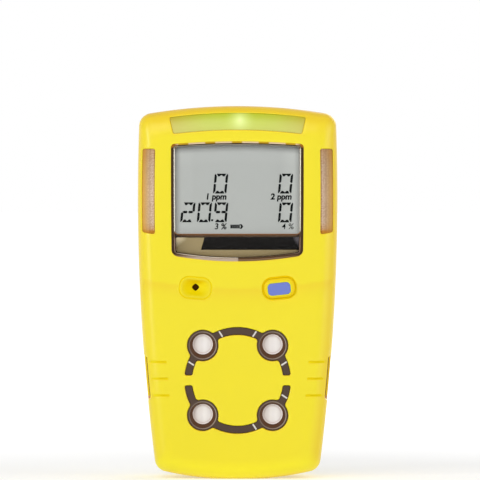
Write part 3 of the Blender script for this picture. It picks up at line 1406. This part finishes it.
# Window and display

# Growth of the window's outline and depth, round the lip and from the pane's back to its middle
LIP_RING = ((-0.03, 3.0), (-0.03, 0.36), (0.08, 0.11), (0.05, 0.07), (-0.08, 0.07), (-0.18, 0.12),
            (-0.25, 0.2), (-0.32, 0.15), (-0.4, 0.13), (-0.48, 0.16), (-0.55, 0.26), (-0.64, 0.42),
            (-0.72, 0.58), (-LIP_IN, 0.75), (-LIP_IN, 3.0))
PANE_FRONT = ((-0.95, 2.2), (-0.95, 0.85), (-1.05, 0.72), (-1.2, 0.7), (-4.0, 0.7), (-9.0, 0.7))
PANE_BACK = ((-0.95, 2.2), (-4.0, 2.2), (-9.0, 2.2))
# Growth of the display's opening, depth behind the mask's front, and share of the pale line
MASK_EDGE = ((0.5, 0.0, 0.0), (0.3, 0.0, 0.35), (0.16, 0.0, 0.7), (0.05, 0.05, 1.0), (0.0, 0.16, 1.0),
             (0.0, LCD_D - MASK_D, 1.0))
# Plate and stripe: drawn in from the outline, and depth behind the plate's front
PLATE_SEAT = ((-0.04, 0.35), (-0.04, 0.15))
PLATE_EDGE = ((0.2, 0.2), (0.2, 0.1), (0.25, 0.02), (0.33, 0.0))
STRIPE_EDGE = ((0.0, 0.0), (0.0, -0.03), (0.05, -0.05))
# Strokes of a figure on a cell one unit wide and high: corners in order, and their mirrors
STROKES = {
    "top": ((0.14, 1.0), (0.86, 1.0), (0.74, 0.86), (0.63, 0.86), (0.5, 0.935), (0.37, 0.86), (0.26, 0.86)),
    "mid_left": ((0.08, 0.512), (0.2, 0.575), (0.42, 0.575), (0.47, 0.512), (0.42, 0.45), (0.2, 0.45)),
    "up_left": ((0.0, 0.55), (0.0, 0.95), (0.05, 0.995), (0.175, 0.88), (0.175, 0.575), (0.07, 0.53)),
    "down_left": ((0.0, 0.475), (0.0, 0.05), (0.05, 0.005), (0.175, 0.12), (0.175, 0.45), (0.07, 0.495)),
}
STROKES["low"] = [(x, 1 - z) for x, z in STROKES["top"]]
for row in ("mid", "up", "down"):
    STROKES[row + "_right"] = [(1 - x, z) for x, z in STROKES[row + "_left"]]
FIGURES = {
    "0": ("top", "low", "up_left", "up_right", "down_left", "down_right"),
    "2": ("top", "low", "mid_left", "mid_right", "up_right", "down_left"),
    "9": ("top", "low", "mid_left", "mid_right", "up_left", "up_right", "down_right"),
}
FIGURE_W = 4.1
FIGURE_H = 6.02
SLANT = 0.1
INK_T = 0.02
# Figures on the display, with their lower left corners, and the point between two of them
READINGS = (("0", -7.5, 86.25), ("0", 12.12, 86.25), ("2", -17.4, 77.58), ("0", -12.4, 77.58),
            ("9", -7.45, 77.58), ("0", 12.12, 77.53))
POINT = ((-8.05, 77.9), (-7.41, 77.9), (-7.36, 78.5), (-8.0, 78.5))
# Battery sign: bars of its charge, and the bracket at its end
BAR_AT = (-2.2, 75.72)
BAR_SIZE = (0.52, 1.16)
BAR_PITCH = 0.58
BARS = 5
BRACKET = ((0.66, 75.6), (1.2, 75.6), (1.7, 76.3), (1.2, 77.0), (0.66, 77.0), (0.66, 76.7), (0.95, 76.55),
           (0.95, 76.05), (0.66, 75.9))
# Small markings: text, weight of its strokes, right end and base line
MARKING_SIZE = 2.5
MARKING_LEAN = 0.12
MARKINGS = (("1 ppm", 0.042, -3.4, 84.5), ("2 ppm", 0.042, 16.3, 84.5), ("3 %", 0.025, -3.4, 75.5),
            ("4 %", 0.008, 16.9, 75.5))


def window_parts():
    """Lip round the window as a closed ring with round edges, a pale pane edge inside it, and the
    pane as a flat plate."""
    ring = carry(rows_of(window_loop, LIP_RING), closed=True)
    shares = [(LIP_FLANGE - row[0]) / (LIP_FLANGE + LIP_IN) for row in LIP_RING]
    make_piece("window_lip", [ring], LIP_BROWN, nodes=("window_gasket",), across=[shares])
    turn = steps(BEAD_STEPS) * 2 * math.pi
    bead = zip(-LIP_IN + BEAD_W / 2 * (np.cos(turn) - 1), BEAD_D - BEAD_RISE * np.sin(turn))
    make_piece("pane_edge", [carry(rows_of(window_loop, bead), closed=True)], BEAD_PALE)
    front = rows_of(window_loop, PANE_FRONT)
    back = rows_of(window_loop, PANE_BACK)
    make_piece("window_pane", [carry(front), cap(front[-1]), carry(back), cap(back[-1])], PANE,
               nodes=("display_window",))


def mask():
    """Dark mask in front of the glass: a plate between a square outer loop and a rounded opening."""
    low = VIEW_LOW - BAR_H
    edge = round_loop(2 * MASK_HALF, MASK_TOP - low, MASK_CORNER, 40, 28) + [0, (MASK_TOP + low) / 2]
    rows = [lay(edge, LCD_D), lay(edge, MASK_D)] + rows_of(display_loop, MASK_EDGE, MASK_D)
    make_piece("display_mask", [carry(rows, closed=True)], MASK_BROWN, nodes=("lcd_frame",),
               across=[[0.0, 0.0] + shares_of(MASK_EDGE)])


def plate_loop(g, r):
    """Outline of the plate drawn in by g: a straight top, and a bottom that follows the window's
    lower arc, with round corners, of radius r below."""
    w = WIN_W - 2 * PLATE_IN - WIN_W * WIN_TAPER
    h = PLATE_TOP - WIN_LOW - PLATE_IN
    a = round_loop(w - 2 * g, h - 2 * g, PLATE_CORNER, 60, 12, low_r=r)
    v = (a[:, 1] + h / 2) / h
    low = WIN_LOW + PLATE_IN + WIN_LOW_R - np.sqrt(WIN_LOW_R ** 2 - a[:, 0] ** 2)
    return np.stack([WIN_X + a[:, 0], low + v * (PLATE_TOP - low)], axis=-1)


def stripe_loop(g, n=60):
    """Outline of the stripe drawn in by g: a straight top and bottom, slanted at the left."""
    t = np.linspace(0, 1, n)
    sides = []
    for left, z, share in ((STRIPE_TOP_L, STRIPE_TOP - g, t), (STRIPE_LOW_L, STRIPE_LOW + g, t[::-1])):
        x = left + g + (STRIPE_R - left - 2 * g) * share
        sides.append(np.stack([x, np.full(n, z)], axis=-1))
    return np.concatenate(sides)


def name_plate():
    """Dark seat below the display, a bare plate with round lower corners on it, and a dark stripe
    with a slanted left end on the plate."""
    seat = rows_of(lambda g: plate_loop(g, SEAT_LOW_CORNER), PLATE_SEAT, PLATE_D)
    make_piece("plate_seat", closed_form(seat), MASK_BROWN, nodes=("name_panel",))
    plate = rows_of(lambda g: plate_loop(g, PLATE_LOW_CORNER), PLATE_EDGE, PLATE_D)
    make_piece("name_plate", closed_form(plate), PLATE_GOLD)
    make_piece("name_stripe", closed_form(rows_of(stripe_loop, STRIPE_EDGE, PLATE_D)), STRIPE_BLACK)


def figure(digit, x, z):
    """Outlines of one slanted figure with its lower left corner at a place."""
    lines = []
    for stroke in FIGURES[digit]:
        p = np.array(STROKES[stroke]) * [FIGURE_W, FIGURE_H]
        lines.append(np.stack([x + p[:, 0] + SLANT * p[:, 1], z + p[:, 1]], axis=-1))
    return lines


def words(text, weight, right, low):
    """Small generic marking as a flat mesh, its strokes thickened, set against its right end."""
    curve = bpy.data.curves.new("marking", "FONT")
    curve.body = text
    curve.size = MARKING_SIZE
    curve.align_x = "RIGHT"
    curve.offset = MARKING_SIZE * weight
    curve.shear = MARKING_LEAN
    made = bpy.data.objects.new("marking", curve)
    bpy.context.scene.collection.objects.link(made)
    bpy.context.view_layer.update()
    flat = bpy.data.meshes.new_from_object(made.evaluated_get(bpy.context.evaluated_depsgraph_get()))
    bpy.data.objects.remove(made)
    co = np.zeros(len(flat.vertices) * 3)
    flat.vertices.foreach_get("co", co)
    co = co.reshape(-1, 3)[:, :2] + [right, low]
    faces = [np.array([p.vertices]) for p in flat.polygons]
    bpy.data.meshes.remove(flat)
    return lay(co, LCD_D - INK_T), faces


def display():
    """Figures, small markings and the battery sign on the display glass."""
    lines = [line for reading in READINGS for line in figure(*reading)]
    plates("display_figures", lines + [np.array(POINT)], LCD_D, INK_T, INK)
    bar = np.array(((0, 0), (1, 0), (1, 1), (0, 1))) * BAR_SIZE + BAR_AT
    sign = [bar + [i * BAR_PITCH, 0] for i in range(BARS)] + [np.array(BRACKET)]
    plates("display_battery_sign", sign, LCD_D, INK_T, INK)
    make_piece("display_markings", [words(*marking) for marking in MARKINGS], INK)


window_parts()
mask()
name_plate()
display()


# Lamps

# Edge of a lens: growth of its opening, and depth under its face
LENS_EDGE = ((-0.02, 1.4), (-0.02, 0.1), (-0.07, 0.03), (-0.16, 0.0), (-0.4, 0.0))


def lens(name, loop, reach, material, node):
    """Lens: loops drawn in from the opening's edge to its middle line, each laid on the face's
    curve at the lens's recess, with a round edge and a wall below it."""
    inner = tuple((g, 0.0) for g in np.linspace(-0.7, -reach + 0.03, 6))
    rows = rows_of(loop, LENS_EDGE + inner, LENS_RECESS, on_face)
    make_piece(name, closed_form(rows), material, nodes=(node,))


lens("top_lens", top_lens_loop, TOP_LENS_H / 2, TOP_LENS, "top_alarm_lens")
lens("left_lens", lambda g: side_lens_loop(g, -1), SIDE_LENS_W / 2, SIDE_LENS, "left_alarm_lens")
lens("right_lens", lambda g: side_lens_loop(g, 1), SIDE_LENS_W / 2, SIDE_LENS, "right_alarm_lens")


# Button

# Growth of the outline, depth, and share from gold to the bright line
STEM_R = 1.5
STEM = (5.2, 3.3)
BUTTON_SIDE = ((1.3, 3.3, 0.0), (1.3, 2.3, 0.0), (0.0, 2.3, 0.0), (0.0, -0.3, 0.0), (-0.05, -0.46, 0.05),
               (-0.16, -0.58, 0.12), (-0.34, -0.67, 0.3), (-0.6, -0.74, 0.5), (-0.9, -0.82, 0.65))
PAD_FRAME = ((0.3, -0.88, 0.8), (0.14, -0.92, 1.0), (0.07, -0.88, 1.0), (0.05, -0.8, 1.0), (0.05, -0.5, 1.0))
PAD_SIDE = ((0.0, -0.5), (0.0, -0.86), (-0.05, -0.94), (-0.14, -0.985), (-0.3, -1.0), (-1.0, -1.0),
            (-1.6, -1.0))


def button():
    """Cap with a round edge and a seat for the pad, its collar and stem behind, and the pad."""
    stem = circle_like(button_loop(0.0), BUTTON_AT, STEM_R)
    rows = [lay(stem, d) for d in STEM] + rows_of(button_loop, BUTTON_SIDE) + rows_of(pad_loop, PAD_FRAME)
    shares = [0.0 for d in STEM] + shares_of(BUTTON_SIDE + PAD_FRAME)
    make_piece("button_body", closed_form(rows), BUTTON_YELLOW, body="button", nodes=("button_cap",),
               across=[shares, shares[0], shares[-1]])
    make_piece("button_pad_skin", closed_form(rows_of(pad_loop, PAD_SIDE)), PAD_BLUE, body="button",
               nodes=("button_pad",))


button()


# Sensor ports

PORT_POINTS = 48
# Mouth of a port: radius, depth behind the bezel's flat, and share for the finish
MOUTH = ((MOUTH_R + 0.34, 0.0, 0.3), (MOUTH_R + 0.24, -0.04, 0.36), (MOUTH_R + 0.12, -0.05, 0.42),
         (MOUTH_R + 0.02, 0.0, 0.44), (MOUTH_R - 0.06, 0.1, 0.5), (MOUTH_R - 0.3, 0.4, 0.62))
# Throat of a port: radius, depth, and share for the finish
THROAT = ((THROAT_R + 0.06, THROAT_D - 0.16, 0.9), (THROAT_R, THROAT_D - 0.08, 1.0),
          (THROAT_R, THROAT_D, 1.0), (FILTER_R, THROAT_D, 1.0))
# Outer edge of a bezel: growth of its outline, depth behind its flat, and share for the finish
BEZEL_EDGE = ((-0.3, 0.0, 0.3), (-0.16, 0.0, 0.24), (-0.08, 0.02, 0.12), (-0.02, 0.08, 0.08),
              (0.0, 0.18, 0.1), (0.0, 1.15, 0.1))
FILTER_RADII = (0.15, 1.0, 1.8, 2.4, 2.7, 2.85, 2.95, 3.1, FILTER_R - 0.1)
FILTER_CROWN = 0.05
FILTER_SINK = 0.03
MARK_W = 0.46
MARK_R = 0.15


def bezel(name, side, node):
    """Bezel: the flat of the band and rings as a sheet, a round outer edge with its wall, and for
    each port a rounded mouth and a cone down to the filter."""
    holes = []
    parts = []
    tone = []
    for at in ports(side):
        rows = rows_of(circles_about(at, PORT_POINTS), MOUTH, BEZEL_D)
        rows += rows_of(circles_about(at + [0, THROAT_UP], PORT_POINTS), THROAT)
        holes.append(rows[0][:, ::2])
        parts.append(carry(rows))
        tone.append(shares_of(MOUTH + THROAT))
    rows = rows_of(lambda g: bezel_loop(g, side), BEZEL_EDGE, BEZEL_D)
    parts.append(carry(rows))
    tone.append(shares_of(BEZEL_EDGE))
    xz, tris = sheet_between(rows[0][:, ::2], holes, BEZEL_STEP)
    parts.append((lay(xz, BEZEL_D), [tris]))
    tone.append(BEZEL_EDGE[0][2])
    make_piece(name, parts, BEZEL_BROWN, nodes=(node,), wall=BEZEL_WALL, across=tone)


def filters():
    """Filter discs: rings from the middle to the rim, with a slight crown, closed behind."""
    depths = [THROAT_D + FILTER_SINK - FILTER_CROWN * (1 - (r / FILTER_R) ** 2) for r in FILTER_RADII]
    rings = list(zip(FILTER_RADII, depths)) + [(FILTER_R, THROAT_D + 0.1), (FILTER_R, THROAT_D + FILTER_T)]
    shares = [r / FILTER_R for r, d in rings]
    parts = []
    for at in ports() + [0, THROAT_UP]:
        parts += closed_form(rows_of(circles_about(at, PORT_POINTS), rings))
    make_piece("filter_discs", parts, FILTER_WHITE, nodes=("sensor_filters",),
               across=[shares, 0.0, 1.0] * len(ports()))


def marks():
    """Pale seams across the bands: thin bars with soft ends along the radius."""
    bar = round_loop(BAND_OUT - BAND_IN - 0.2, MARK_W, MARK_R, 4, 2, 3)
    lines = []
    for angle in MARKS:
        a = math.radians(angle)
        lean = math.radians(MARK_LEAN * (45 - abs(angle) % 90) * math.copysign(1, angle))
        along = polar(1.0, a + lean)
        middle = polar((BAND_OUT + BAND_IN) / 2, a) + [0, PORTS_Z]
        lines.append(middle + bar[:, :1] * along + bar[:, 1:] * np.array([-along[1], along[0]]))
    plates("band_seams", lines, BEZEL_D + 0.1, 0.12, MARK_GREY)


bezel("upper_bezel", 1, "upper_sensor_bezel")
bezel("lower_bezel", -1, "lower_sensor_bezel")
filters()
marks()


# Clip spring

def spring():
    """Torsion spring: a round wire carried along a leg, the coils and the other leg."""
    turns = np.linspace(0, COIL_TURNS, int(COIL_TURNS * COIL_STEPS) + 1)
    a = math.pi + 2 * math.pi * turns
    y0 = (PIN_Y - FRONT_Y) / MM
    z0 = PIN_Z / MM
    half = COIL_TURNS * COIL_PITCH / 2
    coil = np.stack([COIL_PITCH * turns - half, y0 + COIL_R * np.cos(a), z0 + COIL_R * np.sin(a)], axis=-1)
    off_sheet = SHEET_T + COIL_WIRE + 0.05
    base_y = CASE_D + off_sheet
    lever_y = (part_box("clip_lever")[1].y - FRONT_Y) / MM - off_sheet
    s = np.linspace(1, 0, LEG_STEPS, endpoint=False)[:, None]
    first = coil[0] + s * [0, base_y - coil[0][1], COIL_LEG]
    last = coil[-1] + s[::-1] * [0, lever_y - coil[-1][1], COIL_LEG]
    path = np.concatenate([first, coil, last])
    angle = np.concatenate([np.full(LEG_STEPS, math.pi), a, np.full(LEG_STEPS, a[-1])])
    out = np.stack([np.zeros(len(angle)), np.cos(angle), np.sin(angle)], axis=-1)
    ring = unit_circle(WIRE_STEPS)
    wire = path[:, None, :] + COIL_WIRE * (ring[None, :, :1] * out[:, None, :]
                                           + ring[None, :, 1:] * np.array([1.0, 0, 0]))
    piece = make_piece("spring_wire", closed_form(list(wire)), PIN_STEEL, body=None, nodes=("clip_spring",))
    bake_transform(piece)


spring()


# Solids that stay, by finish

KEPT = (
    (SEAL_GREY, ("shell_gasket", "zebra_strip", "button_seal", "buzzer_gasket", "sensor_gaskets",
                 "battery_pad")),
    (SCREW_DARK, ("case_screws", "board_screws", "clip_screws")),
    (LCD_GREY, ("lcd_panel",)),
    (LIGHT_WHITE, ("lcd_backlight",)),
    (IVORY, ("top_alarm_leds", "side_alarm_leds", "switch_plunger", "battery_plug")),
    (BLACK_PLASTIC, ("switch_housing", "buzzer_capsule", "board_header", "motor_bracket",
                     "charge_block")),
    (MEMBRANE_BROWN, ("buzzer_membrane",)),
    (SENSOR_GREY, ("sensor_upper_left", "sensor_upper_right", "sensor_lower_left",
                   "sensor_lower_right")),
    (CONTACT_GOLD, ("sensor_sockets", "charge_contacts")),
    (BOARD_GREEN, ("display_board", "sensor_board")),
    (CHIP_BLACK, ("display_board_chips", "sensor_board_chips")),
    (CELL_BLUE, ("battery_pack",)),
    (LEAD_RED, ("battery_lead",)),
    (PIN_STEEL, ("vibrator_motor", "vibrator_shaft", "clip_pin")),
    (WEIGHT_GREY, ("vibrator_weight",)),
    (IR_RED, ("ir_window",)),
    (LABEL_GREY, ("rear_label",)),
    (STEEL, ("clip_base", "clip_lever")),
)
# Width of the rounding on edges that show
ROUNDED = {"clip_base": 0.18, "clip_lever": 0.22, "clip_pin": 0.2, "clip_screws": 0.15,
           "case_screws": 0.12, "charge_block": 0.15, "charge_contacts": 0.12, "ir_window": 0.12,
           "rear_label": 0.08}
ROUND_STEPS = 3
ROUND_BEND = 40.0


def dress_solids():
    """Gives each solid that stays its finish, and round edges to those that show."""
    for material, names in KEPT:
        for name in names:
            solid = NODES[name]
            solid.data.materials.clear()
            solid.data.materials.append(material)
            if name not in ROUNDED:
                continue
            soft = solid.modifiers.new("round edges", "BEVEL")
            soft.width = ROUNDED[name] * MM
            soft.segments = ROUND_STEPS
            soft.limit_method = "ANGLE"
            soft.angle_limit = math.radians(ROUND_BEND)
            soft.harden_normals = True


dress_solids()


# Floor, light and camera

FLOOR_HALF = 6.0
FLOOR_TONE = 0.86
FLOOR_ROUGH = 0.9
FLOOR_GLOW = 0.78
LIFT_NEAR = 0.49
LIFT_FAR = 1.0
LIFT_UNSEEN = 0.24
LIFT_RUN = (0.1, 0.5)
WORLD_SOFT = 0.35
LAMP_AIM = (0, 0, 0.06)
# Lamps: place, width and height, power
LAMPS = {
    "left": ((-0.95, -0.75, 0.3), (0.3, 0.8), 4.4),
    "right": ((1.05, -0.6, 0.3), (0.9, 1.0), 4.75),
    "over": ((-0.3, -1.05, 0.8), (0.9, 0.7), 3.7),
    "behind": ((0.5, 1.0, 0.6), (0.7, 0.7), 3.4),
}
# Camera: width seen at the face, distance, rise in degrees, and the point in the middle
FIELD = 144.8
REACH = 2.0
RISE = 1.0
AIM_X = 0.71
AIM_Z = 72.28
SENSOR = 36.0


def seen_directly(tree):
    """1 for the camera's rays and for those that gloss and glass send on, else 0."""
    path = tree.nodes.new("ShaderNodeLightPath")
    mirrored = calc(tree, "MAXIMUM", path.outputs["Is Glossy Ray"], path.outputs["Is Transmission Ray"])
    return calc(tree, "MAXIMUM", path.outputs["Is Camera Ray"], mirrored)


def floor():
    """Pale floor: plain diffuse under the lamps, lifted towards white where the camera looks at it,
    less so near the object, where the lamps are strong and its shadow lies."""
    s = np.array([-FLOOR_HALF, FLOOR_HALF])
    x, y = np.meshgrid(s, s)
    mesh = bpy.data.meshes.new("floor")
    mesh.from_pydata(np.stack([x.ravel(), y.ravel(), np.zeros(4)], axis=-1).tolist(), [], [[0, 1, 3, 2]])
    mat = bpy.data.materials.new("floor white")
    mat.use_nodes = True
    tree = mat.node_tree
    shader = tree.nodes["Principled BSDF"]
    shader.inputs["Base Color"].default_value = grey(FLOOR_TONE)
    shader.inputs["Roughness"].default_value = FLOOR_ROUGH
    shader.inputs["Specular IOR Level"].default_value = 0.0
    seen = seen_directly(tree)
    x, y, _ = split(tree, tree.nodes.new("ShaderNodeTexCoord").outputs["Object"])
    away = distance(tree, x, y)
    lift = mixed(tree, "MIX", span(tree, away, *LIFT_RUN), grey(LIFT_NEAR), grey(LIFT_FAR))
    tree.links.new(mixed(tree, "MIX", seen, grey(LIFT_UNSEEN), lift), shader.inputs["Emission Color"])
    shader.inputs["Emission Strength"].default_value = FLOOR_GLOW
    mesh.materials.append(mat)
    plane = bpy.data.objects.new("floor", mesh)
    bpy.context.scene.collection.objects.link(plane)


def lamp(name, at, size, power):
    """Area lamp at a place, turned to the middle of the object."""
    data = bpy.data.lights.new(name, "AREA")
    data.shape = "RECTANGLE"
    data.size, data.size_y = size
    data.energy = power
    made = bpy.data.objects.new(name, data)
    bpy.context.scene.collection.objects.link(made)
    made.location = at
    to_aim = np.array(LAMP_AIM) - np.array(at)
    turn = math.atan2(to_aim[0], to_aim[1])
    down = math.atan2(to_aim[2], math.hypot(to_aim[0], to_aim[1]))
    made.rotation_euler = (math.pi / 2 + down, 0, -turn)


def surroundings():
    """White world: soft light for the object, plain white to the camera, gloss and glass."""
    world = bpy.data.worlds.new("studio")
    bpy.context.scene.world = world
    world.use_nodes = True
    tree = world.node_tree
    soft = tree.nodes["Background"]
    white = tree.nodes.new("ShaderNodeBackground")
    for light, strength in ((soft, WORLD_SOFT), (white, 1.0)):
        light.inputs["Color"].default_value = grey(1.0)
        light.inputs["Strength"].default_value = strength
    both = tree.nodes.new("ShaderNodeMixShader")
    tree.links.new(seen_directly(tree), both.inputs[0])
    tree.links.new(soft.outputs[0], both.inputs[1])
    tree.links.new(white.outputs[0], both.inputs[2])
    tree.links.new(both.outputs[0], tree.nodes["World Output"].inputs["Surface"])


def camera():
    """Camera in front and a little above: the frame is a square of the photograph's width."""
    up = math.radians(RISE)
    aim = np.array([AIM_X * MM, FRONT_Y, AIM_Z * MM])
    data = bpy.data.cameras.new("camera")
    data.sensor_width = SENSOR
    data.lens = SENSOR * REACH / (FIELD * MM)
    data.clip_start = 0.01
    made = bpy.data.objects.new("camera", data)
    bpy.context.scene.collection.objects.link(made)
    made.location = aim + REACH * np.array([0, -math.cos(up), math.sin(up)])
    made.rotation_euler = (math.pi / 2 - up, 0, 0)
    bpy.context.scene.camera = made


floor()
surroundings()
for name, (at, size, power) in LAMPS.items():
    lamp(name, at, size, power)
camera()
bpy.context.scene.view_settings.view_transform = "Standard"
